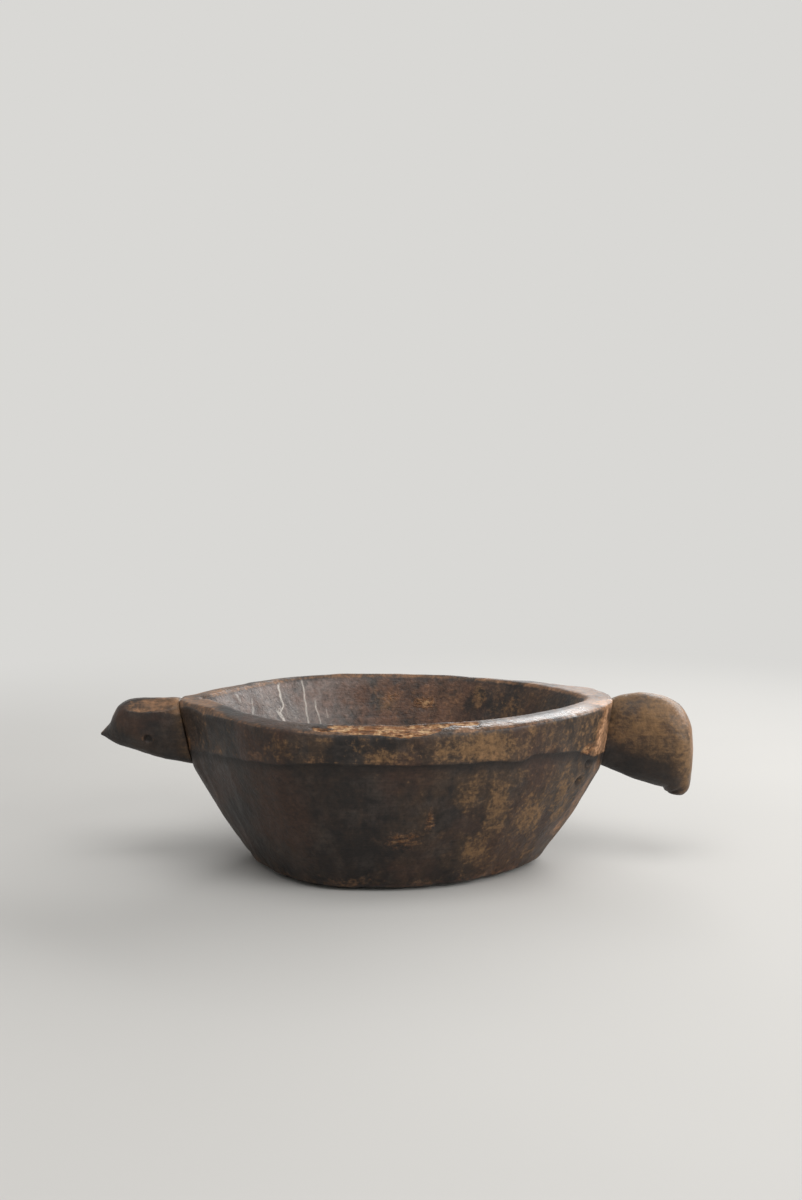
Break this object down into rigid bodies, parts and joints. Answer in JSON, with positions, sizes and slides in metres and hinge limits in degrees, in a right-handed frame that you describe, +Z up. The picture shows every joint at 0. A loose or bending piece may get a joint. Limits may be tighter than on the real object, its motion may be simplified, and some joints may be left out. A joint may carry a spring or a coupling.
{
  "type": "feed scoop",
  "caption": "Almond-shaped feed scoop of dark carved wood: a deep bowl with a raised collar under its rim and a carved bird's head as a grip, pegged to a shoulder at each end.",
  "frame": {"origin": "middle of the flat base, on the surface that the scoop stands on", "axes": "+X along the scoop to the bowed head, +Y away from the pictured side, +Z up"},
  "size_m": [0.4084, 0.231, 0.1162],
  "materials": {
    "bowl_wood": "dark handled patina, worn to raw brown wood on the rim",
    "head_wood": "dark patina, rubbed to brown on the crowns and beaks",
    "peg_wood": "bare whittled wood, hidden in the joints"
  },
  "bodies": {
    "root": {"bowl": "bowl_wood", "left_head": "head_wood", "right_head": "head_wood", "left_upper_peg": "peg_wood", "left_lower_peg": "peg_wood", "right_upper_peg": "peg_wood", "right_lower_peg": "peg_wood"}
  },
  "joints": []
}
